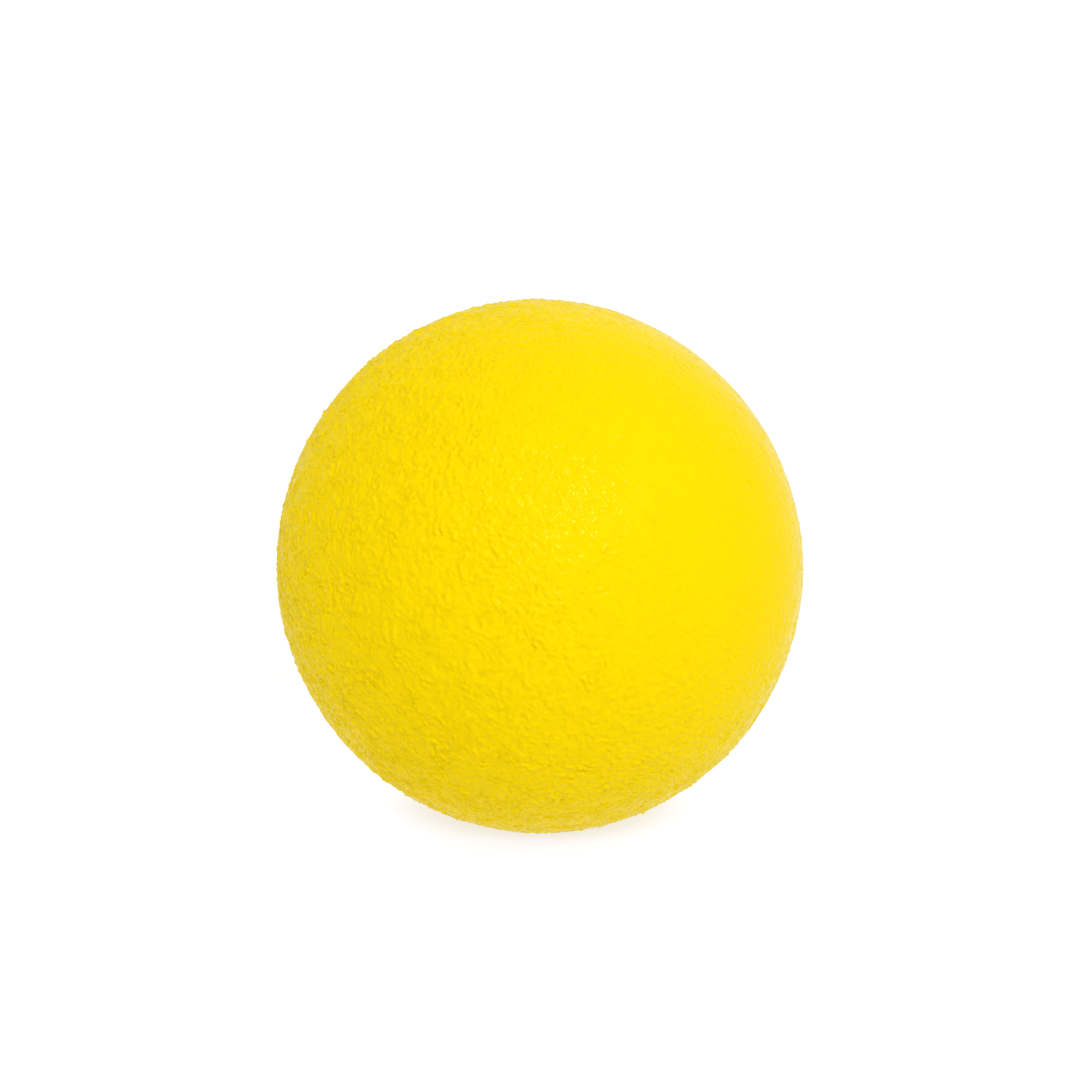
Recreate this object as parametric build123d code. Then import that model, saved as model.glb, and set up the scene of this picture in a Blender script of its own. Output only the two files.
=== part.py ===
"""Coated foam play ball, 8.5 inches across.

A moulded ball of soft polyurethane foam is sealed with a thin clear base coat, and carries a
tougher, coloured elastomer skin over that. The three layers are bonded and concentric, with no
valve, seam or hollow. The origin is the centre of the ball, and +Z is up as it rests on a floor.
"""

import os

from build123d import *

# Driving dimensions, mm
MM_PER_INCH = 25.4
BALL_DIAMETER = 8.5 * MM_PER_INCH
SKIN_THICKNESS = 0.8
BASE_COAT_THICKNESS = 0.3

# Radii of the layers' shared faces, mm
SKIN_RADIUS = BALL_DIAMETER / 2
BASE_COAT_RADIUS = SKIN_RADIUS - SKIN_THICKNESS
CORE_RADIUS = BASE_COAT_RADIUS - BASE_COAT_THICKNESS


def coat(outer_radius, inner_radius):
    """A closed spherical coat that fills the space between two radii."""
    return Sphere(outer_radius) - Sphere(inner_radius)


def foam_core():
    """The moulded foam ball that gives the toy its bounce: one solid sphere of open-cell foam."""
    return Sphere(CORE_RADIUS)


def base_coat():
    """The clear sealing coat that closes the foam's outer cells and bonds the skin to them."""
    return coat(BASE_COAT_RADIUS, CORE_RADIUS)


def skin():
    """The coloured elastomer skin, built up over the base coat all round."""
    return coat(SKIN_RADIUS, BASE_COAT_RADIUS)


NODES = {
    "foam_core": foam_core(),
    "base_coat": base_coat(),
    "skin": skin(),
}

os.makedirs("parts", exist_ok=True)
for name, shape in NODES.items():
    shape.label = name
    export_step(shape, f"parts/{name}.step")
    print(f"{name}: {shape.volume / 1000:.1f} cm3")
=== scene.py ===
"""The looks of a coated foam play ball: a wrinkled yellow skin, a clear base coat, a foam core.

Everything is in metres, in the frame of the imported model. The ball's centre is the origin, and it
rests on a white floor in soft studio light.
"""
import math

import bpy
import numpy as np
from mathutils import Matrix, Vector


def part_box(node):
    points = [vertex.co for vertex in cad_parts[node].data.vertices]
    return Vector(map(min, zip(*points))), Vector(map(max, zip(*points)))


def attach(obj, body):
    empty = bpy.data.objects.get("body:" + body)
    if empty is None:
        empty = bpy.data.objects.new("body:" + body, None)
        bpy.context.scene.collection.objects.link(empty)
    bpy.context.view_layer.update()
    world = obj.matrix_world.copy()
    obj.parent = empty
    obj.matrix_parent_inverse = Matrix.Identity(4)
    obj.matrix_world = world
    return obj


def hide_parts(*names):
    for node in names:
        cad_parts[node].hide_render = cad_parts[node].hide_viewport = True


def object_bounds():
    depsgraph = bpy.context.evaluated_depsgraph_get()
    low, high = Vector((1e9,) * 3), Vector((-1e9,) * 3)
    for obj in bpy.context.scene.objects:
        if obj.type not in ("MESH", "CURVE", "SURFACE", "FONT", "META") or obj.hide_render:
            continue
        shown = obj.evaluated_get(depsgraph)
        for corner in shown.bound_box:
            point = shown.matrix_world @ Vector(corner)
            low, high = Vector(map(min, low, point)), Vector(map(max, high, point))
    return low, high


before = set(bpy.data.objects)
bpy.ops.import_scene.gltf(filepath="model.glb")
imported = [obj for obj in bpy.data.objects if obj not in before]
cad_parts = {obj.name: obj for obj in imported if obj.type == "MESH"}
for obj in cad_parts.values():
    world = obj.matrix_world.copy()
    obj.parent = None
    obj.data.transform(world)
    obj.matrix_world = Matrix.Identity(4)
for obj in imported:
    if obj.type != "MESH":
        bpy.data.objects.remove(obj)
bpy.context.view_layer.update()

MM = 0.001

# ---------------------------------------------------------------------------------------------
# Sizes read from the frame
# ---------------------------------------------------------------------------------------------


def node_radius(node):
    """The radius of one of the ball's concentric CAD layers."""
    low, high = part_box(node)
    return (high.z - low.z) / 2


SKIN_RADIUS = node_radius("skin")
COAT_RADIUS = node_radius("base_coat")
CORE_RADIUS = node_radius("foam_core")

# ---------------------------------------------------------------------------------------------
# Smooth random fields in space, the source of every irregularity
# ---------------------------------------------------------------------------------------------


def waves(points, wavelength, seed, count=72, spread=0.28):
    """A smooth random field of unit deviation, whose bumps repeat at about this wavelength.

    It is a sum of plane waves in random directions, so it has no grid and no seam anywhere. Count
    is how many there are, and spread is how much their lengths differ.
    """
    rng = np.random.default_rng(seed)
    directions = rng.normal(size=(count, 3))
    directions /= np.linalg.norm(directions, axis=1, keepdims=True)
    lengths = wavelength * np.exp(rng.normal(0, spread, count))
    phases = rng.uniform(0, 2 * math.pi, count)
    total = np.zeros(len(points))
    for direction, length, phase in zip(directions, lengths, phases):
        total += np.cos(points @ (direction * 2 * math.pi / length) + phase)
    return total * math.sqrt(2 / count)


def warped(points, wavelength, amount, seed):
    """The same points pushed about by a smooth field, so that what is drawn on them meanders."""
    pushes = [waves(points, wavelength, seed + axis, count=40) for axis in range(3)]
    return points + amount * np.stack(pushes, axis=1)


MEAN_OF_HIGHEST = 0.846  # of three fields of unit deviation
CREASE_GAP = 0.8  # by which the highest field leads at the edge of a crease


def mounds(points, wavelength, seed):
    """Rounded mounds that meet in sharp creases: the highest of three smooth fields, about 0.

    The second result is 1 in a crease and falls to 0 on the mounds beside it; the skin's painted
    crease shade follows it.
    """
    fields = [waves(points, wavelength, seed + kind) for kind in range(3)]
    _, second, highest = np.sort(fields, axis=0)
    return highest - MEAN_OF_HIGHEST, np.exp(-(((highest - second) / CREASE_GAP) ** 2))


def creased(field, width):
    """Flat-topped pebbles with narrow valleys between them, from 0 in a valley to 1 on top."""
    return 1 - np.exp(-((field / width) ** 2))


# ---------------------------------------------------------------------------------------------
# Ball meshes
# ---------------------------------------------------------------------------------------------


def ball_grid(cells):
    """Directions and quads of a ball made of six square grids, with the seams already joined."""
    steps = np.arange(cells + 1)
    a, b = (g.ravel() for g in np.meshgrid(steps, steps, indexing="ij"))
    corner = (steps[:-1, None] * (cells + 1) + steps[None, :-1]).ravel()
    quad = np.stack([corner, corner + cells + 1, corner + cells + 2, corner + 1], axis=1)
    lattice, quads = [], []
    for axis in range(3):
        for side in (0, cells):
            grid = np.empty((len(a), 3), int)
            grid[:, axis] = side
            grid[:, (axis + 1) % 3] = a
            grid[:, (axis + 2) % 3] = b
            lattice.append(grid)
            order = quad if side else quad[:, ::-1]
            quads.append(order + len(a) * (2 * axis + (1 if side else 0)))
    nodes, joined = np.unique(np.concatenate(lattice), axis=0, return_inverse=True)
    even = np.tan((nodes / cells - 0.5) * math.pi / 2)
    directions = even / np.linalg.norm(even, axis=1, keepdims=True)
    return directions, joined.ravel()[np.concatenate(quads)]


def mesh_object(name, points, quads, material, **fields):
    """A smooth-shaded mesh object, with fields of values at its points for its material to read."""
    mesh = bpy.data.meshes.new(name)
    mesh.vertices.add(len(points))
    mesh.vertices.foreach_set("co", points.astype(np.float32).ravel())
    mesh.loops.add(quads.size)
    mesh.loops.foreach_set("vertex_index", quads.astype(np.int32).ravel())
    mesh.polygons.add(len(quads))
    mesh.polygons.foreach_set("loop_start", np.arange(0, quads.size, 4, dtype=np.int32))
    mesh.update(calc_edges=True)
    mesh.polygons.foreach_set("use_smooth", np.ones(len(quads), bool))
    for field, values in fields.items():
        kept = mesh.attributes.new(field, "FLOAT", "POINT")
        kept.data.foreach_set("value", values.astype(np.float32))
    mesh.materials.append(material)
    mesh.validate()
    piece = bpy.data.objects.new(name, mesh)
    bpy.context.scene.collection.objects.link(piece)
    return piece


def shell(outer, outer_quads, inner, inner_quads):
    """One closed wall: an outer surface, and an inner one that faces the other way."""
    points = np.concatenate([outer, inner])
    return points, np.concatenate([outer_quads, inner_quads[:, ::-1] + len(outer)])


# The ball isn't perfectly round: it stands a little taller than it is wide, and has soft lumps.
LONG_AXIS = np.array([-0.26, 0.36, 0.89])
OVAL = 0.93 * MM
LUMP_WAVELENGTH = 95 * MM
LUMP_HEIGHT = 0.16 * MM


def out_of_round(directions):
    """How far the ball's surface stands off a true sphere, all layers alike."""
    along = directions @ (LONG_AXIS / np.linalg.norm(LONG_AXIS))
    oval = OVAL * (1.5 * along**2 - 0.5)  # 1 along the long axis, -0.5 round the waist
    return oval + LUMP_HEIGHT * waves(directions * CORE_RADIUS, LUMP_WAVELENGTH, seed=11)


def layer(directions, radius):
    """Points of a smooth layer at this radius, out of round as the whole ball is."""
    return directions * (radius + out_of_round(directions))[:, None]


# ---------------------------------------------------------------------------------------------
# Materials
# ---------------------------------------------------------------------------------------------


class Nodes:
    """A material's node tree, with short ways to add and join nodes."""

    def __init__(self, name):
        self.material = bpy.data.materials.new(name)
        self.material.use_nodes = True
        self.tree = self.material.node_tree
        self.shader = self.tree.nodes["Principled BSDF"]
        self.place = self.add("ShaderNodeTexCoord").outputs["Object"]

    def add(self, kind, **settings):
        """A new node of this kind, with these settings."""
        node = self.tree.nodes.new(kind)
        for name, value in settings.items():
            setattr(node, name, value)
        return node

    def join(self, source, target):
        """Link an output to an input."""
        self.tree.links.new(source, target)

    def noise(self, wavelength, detail=2.0, rough=0.5):
        """Noise between 0 and 1 whose features are about this wavelength across."""
        node = self.add("ShaderNodeTexNoise")
        node.inputs["Scale"].default_value = 1 / wavelength
        node.inputs["Detail"].default_value = detail
        node.inputs["Roughness"].default_value = rough
        self.join(self.place, node.inputs["Vector"])
        return node.outputs["Fac"]

    def cells(self, wavelength):
        """How far each point is from the middle of the nearest of random cells this far apart."""
        node = self.add("ShaderNodeTexVoronoi")
        node.inputs["Scale"].default_value = 1 / wavelength
        self.join(self.place, node.inputs["Vector"])
        return node.outputs["Distance"]

    def between(self, source, low, high, out_low, out_high):
        """A smooth step from one value to another."""
        node = self.add("ShaderNodeMapRange", interpolation_type="SMOOTHSTEP")
        ends = {"From Min": low, "From Max": high, "To Min": out_low, "To Max": out_high}
        for name, value in ends.items():
            node.inputs[name].default_value = value
        self.join(source, node.inputs["Value"])
        return node.outputs["Result"]

    def mixed(self, share, first, second, mode="MIX"):
        """Two colours mixed by a share; either one may be a colour or another node's output."""
        node = self.add("ShaderNodeMix", data_type="RGBA", blend_type=mode)
        self.join(share, node.inputs["Factor"])
        colour_a, colour_b = node.inputs[6:8]  # the node also has number and vector sockets
        for socket, value in ((colour_a, first), (colour_b, second)):
            if isinstance(value, tuple):
                socket.default_value = (*value, 1)
            else:
                self.join(value, socket)
        return node.outputs[2]  # the mixed colour

    def times(self, first, second):
        """The product of two outputs."""
        node = self.add("ShaderNodeMath", operation="MULTIPLY")
        self.join(first, node.inputs[0])
        self.join(second, node.inputs[1])
        return node.outputs["Value"]

    def bump(self, height, distance):
        """Fine relief this deep."""
        node = self.add("ShaderNodeBump")
        node.inputs["Strength"].default_value = 1
        node.inputs["Distance"].default_value = distance
        self.join(height, node.inputs["Height"])
        return node.outputs["Normal"]


# What most of a noise's values lie between
NOISE_CORE = (0.35, 0.65)
NOISE_RANGE = (0.3, 0.7)

# Painted shade: the skin's yellow is darker in its creases and lighter on its crests.
SKIN_PAINTED_CREASE_SHADE = (0.757, 0.577, 0.0)
SKIN_PAINTED_CREST_LIGHT = (0.797, 0.614, 0.0)
SKIN_PATCH = (0.98, 0.98, 1.0)
SKIN_PATCH_SIZE = 23 * MM
SKIN_PATCH_STRENGTH = 0.3
SKIN_ROUGHNESS = (0.13, 0.16)
SKIN_GLOSS_SIZE = 6 * MM
SKIN_SPECULAR = 0.07
FINE_GRAIN = 1.7 * MM
FINE_GRAIN_DEPTH = 0.25 * MM


def yellow_skin():
    """Satin polyurethane elastomer: saturated yellow, with painted shade, darker in its creases and
    lighter on its crests.
    """
    n = Nodes("yellow_skin")
    # Painted shade: a field from the mesh mixes the yellow darker towards the creases and lighter
    # towards the crests.
    painted_crest_light = n.add("ShaderNodeAttribute", attribute_name="painted_crest_light").outputs["Fac"]
    yellow_with_painted_shade = n.mixed(painted_crest_light, SKIN_PAINTED_CREASE_SHADE, SKIN_PAINTED_CREST_LIGHT)
    mottle = n.between(n.noise(SKIN_PATCH_SIZE, detail=3), *NOISE_CORE, 0, SKIN_PATCH_STRENGTH)
    n.join(n.mixed(mottle, yellow_with_painted_shade, SKIN_PATCH, "MULTIPLY"), n.shader.inputs["Base Color"])
    gloss = n.between(n.noise(SKIN_GLOSS_SIZE, detail=3), *NOISE_RANGE, *SKIN_ROUGHNESS)
    n.join(gloss, n.shader.inputs["Roughness"])
    n.shader.inputs["Specular IOR Level"].default_value = SKIN_SPECULAR
    coarseness = n.add("ShaderNodeAttribute", attribute_name="coarseness").outputs["Fac"]
    grain = n.times(n.noise(FINE_GRAIN, detail=2, rough=0.6), coarseness)
    n.join(n.bump(grain, FINE_GRAIN_DEPTH), n.shader.inputs["Normal"])
    return n.material


COAT_THIN = (0.72, 0.6, 0.36)
COAT_THICK = (0.84, 0.78, 0.6)
COAT_CLOUD_SIZE = 14 * MM
COAT_ROUGHNESS = (0.3, 0.45)
COAT_GLOSS_SIZE = 5 * MM
COAT_GRAIN = 3 * MM
COAT_GRAIN_DEPTH = 0.15 * MM


def clear_coat():
    """Unpigmented elastomer, milky where it is thick and amber where it is thin."""
    n = Nodes("clear_coat")
    thick = n.between(n.noise(COAT_CLOUD_SIZE, detail=4), *NOISE_CORE, 0, 1)
    n.join(n.mixed(thick, COAT_THIN, COAT_THICK), n.shader.inputs["Base Color"])
    gloss = n.between(n.noise(COAT_GLOSS_SIZE), *NOISE_RANGE, *COAT_ROUGHNESS)
    n.join(gloss, n.shader.inputs["Roughness"])
    grain = n.noise(COAT_GRAIN, detail=3)
    n.join(n.bump(grain, COAT_GRAIN_DEPTH), n.shader.inputs["Normal"])
    return n.material


FOAM_PORE_SHADE = (0.5, 0.4, 0.2)
FOAM_FACE = (0.8, 0.72, 0.5)
FOAM_CELL = 1.3 * MM
PORE_DEPTH = 0.5 * MM
PORE_EDGE = (0.15, 0.55)  # distances from its middle over which a pore fades, in cells
PORE_MATT_EDGE = (0.1, 0.6)
FOAM_ROUGHNESS = (0.98, 0.85)  # in a pore, and on the face
FOAM_SPECULAR = 0.2


def foam():
    """Cream open-cell foam: matt, with a pore in the middle of every cell, painted darker than its
    face as shade.
    """
    n = Nodes("foam")
    pores = n.cells(FOAM_CELL)
    shade = n.between(pores, *PORE_EDGE, 0, 1)
    # Painted shade: each pore is darker than the foam's face.
    n.join(n.mixed(shade, FOAM_PORE_SHADE, FOAM_FACE), n.shader.inputs["Base Color"])
    matt = n.between(pores, *PORE_MATT_EDGE, *FOAM_ROUGHNESS)
    n.join(matt, n.shader.inputs["Roughness"])
    n.shader.inputs["Specular IOR Level"].default_value = FOAM_SPECULAR
    n.join(n.bump(shade, PORE_DEPTH), n.shader.inputs["Normal"])
    return n.material


# ---------------------------------------------------------------------------------------------
# The skin: wrinkles and pebbles over the whole ball, in real geometry
# ---------------------------------------------------------------------------------------------

SKIN_CELLS = 300
INNER_CELLS = 64

SWELL_WAVELENGTH = 20 * MM
SWELL_HEIGHT = 0.01 * MM
FOLD_WAVELENGTH = 8 * MM
FOLD_HEIGHT = 0.02 * MM
PEBBLE_WAVELENGTH = 3.4 * MM
PEBBLE_HEIGHT = 0.26 * MM
CRUMB_WAVELENGTH = 1.9 * MM
CRUMB_HEIGHT = 0.085 * MM
MEANDER_WAVELENGTH = 14 * MM
MEANDER = 1.0 * MM
PEBBLE_SHARE = 0.6  # of the painted shade in the creases; the rest comes from the crumbs
MEAN_CREST = 0.55  # where the skin's mean colour lies between the painted shade of the creases and the lighter crests

# The wrinkle is shallower at the upper right as the camera sees it, and deeper at the upper left
SMOOTHER_SIDE = np.array([0.78, -0.22, 0.58])
SMOOTHER_BY = 0.6
SMOOTHER_FROM = 0.2  # cosine of the angle from the smoother side's middle to its edge
SMOOTHER_TO = 0.95  # and to where it is smoothest
COARSER_SIDE = np.array([-0.7, -0.5, 0.6])
COARSER_BY = 0.2
PATCH_WAVELENGTH = 13 * MM
PATCHINESS = 0.18


def towards(directions, side):
    """The cosine of the angle between each direction and this side of the ball."""
    return directions @ (side / np.linalg.norm(side))


def coarseness(directions):
    """How deep the wrinkle runs from place to place, less where the skin went on thicker."""
    reach = SMOOTHER_TO - SMOOTHER_FROM
    inside = np.clip((towards(directions, SMOOTHER_SIDE) - SMOOTHER_FROM) / reach, 0, 1)
    patchy = 1 + PATCHINESS * np.tanh(waves(directions * SKIN_RADIUS, PATCH_WAVELENGTH, seed=30))
    leaning = 1 + COARSER_BY * towards(directions, COARSER_SIDE)
    return patchy * leaning * (1 - SMOOTHER_BY * inside**2 * (3 - 2 * inside))


def skin_relief(directions, coarse):
    """Height of the pebbled skin about its mean, and how much lighter each point is painted, from
    about 0 with painted shade deep in a crease to 1 on the crests.
    """
    points = directions * SKIN_RADIUS
    bent = warped(points, MEANDER_WAVELENGTH, MEANDER, seed=20)
    folds, _ = mounds(bent, FOLD_WAVELENGTH, seed=51)
    pebbles, pebble_creases = mounds(bent, PEBBLE_WAVELENGTH, seed=31)
    crumbs, crumb_creases = mounds(points, CRUMB_WAVELENGTH, seed=61)
    height = coarse * (FOLD_HEIGHT * folds + PEBBLE_HEIGHT * pebbles + CRUMB_HEIGHT * crumbs)
    creases = PEBBLE_SHARE * pebble_creases + (1 - PEBBLE_SHARE) * crumb_creases
    # Painted shade: the colour is darker towards the creases, less so where the wrinkle is
    # shallower.
    painted_crest_light = MEAN_CREST + coarse * (creases.mean() - creases)
    return height + SWELL_HEIGHT * waves(points, SWELL_WAVELENGTH, seed=41), painted_crest_light


def build_skin():
    """The coloured skin: the wrinkle outside, and a plain inner face where the base coat ends."""
    directions, quads = ball_grid(SKIN_CELLS)
    coarse = coarseness(directions)
    height, painted_crest_light = skin_relief(directions, coarse)
    outer = layer(directions, SKIN_RADIUS) + directions * height[:, None]
    inner_directions, inner_quads = ball_grid(INNER_CELLS)
    points, faces = shell(outer, quads, layer(inner_directions, COAT_RADIUS), inner_quads)
    inside = np.ones(len(inner_directions))
    painted_crest_light = np.concatenate([painted_crest_light, inside])
    coarse = np.concatenate([coarse, inside])
    # The first field carries the painted shade of the creases to the skin's material; the inner
    # face gets none.
    fields = {"painted_crest_light": painted_crest_light, "coarseness": coarse}
    piece = mesh_object("wrinkled_skin", points, faces, yellow_skin(), **fields)
    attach(piece, "root")
    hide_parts("skin")
    return piece


# ---------------------------------------------------------------------------------------------
# The base coat and the foam core, out of sight under the skin
# ---------------------------------------------------------------------------------------------

COAT_CELLS = 96
COAT_RIPPLE = 0.05 * MM
COAT_RIPPLE_WAVELENGTH = 7 * MM
COAT_VALLEY = 0.8  # its width, in deviations of the field that it follows
CORE_CELLS = 150
CORE_MEANDER_WAVELENGTH = 9 * MM
CORE_MEANDER = 0.8 * MM
PIT_SPACING = 5 * MM
PIT_DEPTH = 0.9 * MM
PIT_FROM = 0.9  # deviations of its field at which a pit starts
PIT_REACH = 1.2  # and how many more make it full depth
DIMPLE_SPACING = 2.6 * MM
DIMPLE_DEPTH = 0.15 * MM
DIMPLE_REACH = 2


def build_base_coat():
    """A thin film whose outer face is rippled like a sprayed coat, always under the skin."""
    directions, quads = ball_grid(COAT_CELLS)
    field = waves(directions * COAT_RADIUS, COAT_RIPPLE_WAVELENGTH, seed=51)
    ripple = creased(field, COAT_VALLEY) - 1
    outer = layer(directions, COAT_RADIUS) + directions * (COAT_RIPPLE * ripple)[:, None]
    points, faces = shell(outer, quads, layer(directions, CORE_RADIUS), quads)
    piece = mesh_object("sealing_film", points, faces, clear_coat())
    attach(piece, "root")
    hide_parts("base_coat")
    return piece


def build_foam_core():
    """The moulded foam ball: burst bubbles pit its face, and the coat bridges over them."""
    directions, quads = ball_grid(CORE_CELLS)
    points = warped(directions * CORE_RADIUS, CORE_MEANDER_WAVELENGTH, CORE_MEANDER, seed=60)
    pits = np.clip(waves(points, PIT_SPACING, seed=61) - PIT_FROM, 0, PIT_REACH) / PIT_REACH
    dimples = np.clip(waves(points, DIMPLE_SPACING, seed=62), 0, DIMPLE_REACH) / DIMPLE_REACH
    sunk = PIT_DEPTH * pits + DIMPLE_DEPTH * dimples
    surface = layer(directions, CORE_RADIUS) - directions * sunk[:, None]
    piece = mesh_object("foam_ball", surface, quads, foam())
    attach(piece, "root")
    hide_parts("foam_core")
    return piece


# ---------------------------------------------------------------------------------------------
# Stage: floor, light and camera
# ---------------------------------------------------------------------------------------------

FLOOR_SIZE = 14.0
FLOOR_GREY = (0.4, 0.4, 0.4, 1)
# Painted shadow and light on the floor: its glow is weakest under the ball, strongest and bluish in
# a ring round it, which lifts the ball's real shadow and its yellow bounce, and even far off.
GLOW_PAINTED_SHADOW_AT_CONTACT = (0.42, 0.425, 0.46)
GLOW_PAINTED_LIGHT_ROUND_BALL = (0.49, 0.505, 0.61)
GLOW_FAR_OFF = (0.44, 0.44, 0.45)
# Distances from the contact point over which the painted glow changes: from the painted shadow at
# the contact to the painted light round the ball, then to the even glow far off. They are measured
# on a floor that is shrunk from side to side, so the painted shadow comes out wider that way.
CONTACT_EDGE = (0.20 * SKIN_RADIUS, 0.38 * SKIN_RADIUS)
SHADOW_EDGE = (0.5 * SKIN_RADIUS, 1.4 * SKIN_RADIUS)
FLOOR_SHRINK = (0.55, 1, 1)


def build_floor(height):
    """A pale floor that glows faintly, with painted shadow under the ball and painted light round
    it, so that only a soft shadow shows.
    """
    half = FLOOR_SIZE / 2
    corners = [(-half, -half, 0), (half, -half, 0), (half, half, 0), (-half, half, 0)]
    mesh = bpy.data.meshes.new("floor")
    mesh.from_pydata(corners, [], [(0, 1, 2, 3)])
    floor = bpy.data.objects.new("floor", mesh)
    floor.location = (0, 0, height)
    bpy.context.scene.collection.objects.link(floor)
    n = Nodes("floor_white")
    n.shader.inputs["Base Color"].default_value = FLOOR_GREY
    n.shader.inputs["Roughness"].default_value = 1
    n.shader.inputs["Specular IOR Level"].default_value = 0
    shrunk = n.add("ShaderNodeVectorMath", operation="MULTIPLY")
    shrunk.inputs[1].default_value = FLOOR_SHRINK
    n.join(n.place, shrunk.inputs[0])
    length = n.add("ShaderNodeVectorMath", operation="LENGTH")
    n.join(shrunk.outputs["Vector"], length.inputs[0])
    # Painted shadow and light: the glow rises from the contact to a ring round the ball, then
    # settles to the even glow far off.
    leaving = n.between(length.outputs["Value"], *CONTACT_EDGE, 0, 1)
    fading = n.between(length.outputs["Value"], *SHADOW_EDGE, 0, 1)
    painted_shadow_and_light = n.mixed(leaving, GLOW_PAINTED_SHADOW_AT_CONTACT, GLOW_PAINTED_LIGHT_ROUND_BALL)
    n.join(n.mixed(fading, painted_shadow_and_light, GLOW_FAR_OFF), n.shader.inputs["Emission Color"])
    n.shader.inputs["Emission Strength"].default_value = 1
    n.material.cycles.emission_sampling = "NONE"
    mesh.materials.append(n.material)


def aim(obj, place, target):
    """Put a lamp or camera somewhere, pointed at a target."""
    obj.location = place
    obj.rotation_mode = "QUATERNION"
    obj.rotation_quaternion = (Vector(target) - Vector(place)).to_track_quat("-Z", "Y")


def direction(azimuth, elevation):
    """Unit vector towards a point seen from the ball; azimuth 0 is the front, 90 its right."""
    a, e = math.radians(azimuth), math.radians(elevation)
    return Vector((math.sin(a) * math.cos(e), -math.cos(a) * math.cos(e), math.sin(e)))


def soft_light(name, azimuth, elevation, distance, size, brightness):
    """A square softbox. Brightness is what it adds to a white card that faces it at the ball."""
    lamp = bpy.data.lights.new(name, "AREA")
    lamp.shape = "SQUARE"
    lamp.size = size
    lamp.energy = brightness * (math.pi * distance) ** 2
    holder = bpy.data.objects.new(name, lamp)
    bpy.context.scene.collection.objects.link(holder)
    aim(holder, direction(azimuth, elevation) * distance, (0, 0, 0))


TENT_GLOW = 0.715
TENT_SLOPE = (0.0, 0.04, -0.03)  # how much more it glows towards the right, the back and the top


def build_lights():
    """A small key and a broad side softbox, in a tent that glows more at its back and low down."""
    soft_light("key", azimuth=14, elevation=46, distance=1.8, size=0.13, brightness=0.21)
    soft_light("side", azimuth=50, elevation=38, distance=2.0, size=0.8, brightness=0.05)
    world = bpy.data.worlds.new("light_tent")
    world.use_nodes = True
    bpy.context.scene.world = world
    nodes, links = world.node_tree.nodes, world.node_tree.links
    place = nodes.new("ShaderNodeTexCoord")
    along = nodes.new("ShaderNodeVectorMath")
    along.operation = "DOT_PRODUCT"
    along.inputs[1].default_value = TENT_SLOPE
    glow = nodes.new("ShaderNodeMath")
    glow.inputs[1].default_value = TENT_GLOW
    links.new(place.outputs["Generated"], along.inputs[0])
    links.new(along.outputs["Value"], glow.inputs[0])
    links.new(glow.outputs[0], nodes["Background"].inputs["Strength"])
    nodes["Background"].inputs["Color"].default_value = (1, 1, 1, 1)
    world.cycles.sampling_method = "NONE"


CAMERA_ELEVATION = 22.5
LENS = 90.0
SENSOR = 36.0
BALL_SHARE_OF_FRAME = 0.4887
BALL_DROP_OF_FRAME = 0.0242


def build_camera():
    """A long lens a little above the ball, which sits just below the middle of the frame."""
    camera_data = bpy.data.cameras.new("camera")
    camera_data.lens = LENS
    camera_data.sensor_width = SENSOR
    frame_width = SENSOR / LENS
    half_angle = math.atan(BALL_SHARE_OF_FRAME * frame_width / 2)
    distance = SKIN_RADIUS / math.sin(half_angle)
    camera = bpy.data.objects.new("camera", camera_data)
    bpy.context.scene.collection.objects.link(camera)
    tilt = math.radians(CAMERA_ELEVATION)
    above = Vector((0, math.sin(tilt), math.cos(tilt)))
    target = above * distance * BALL_DROP_OF_FRAME * frame_width
    aim(camera, direction(0, CAMERA_ELEVATION) * distance, target)
    bpy.context.scene.camera = camera


bpy.context.scene.view_settings.view_transform = "Standard"
bpy.context.scene.view_settings.look = "High Contrast"
build_camera()
build_skin()
build_base_coat()
build_foam_core()
visual_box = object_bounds()
build_floor(visual_box[0].z)
build_lights()
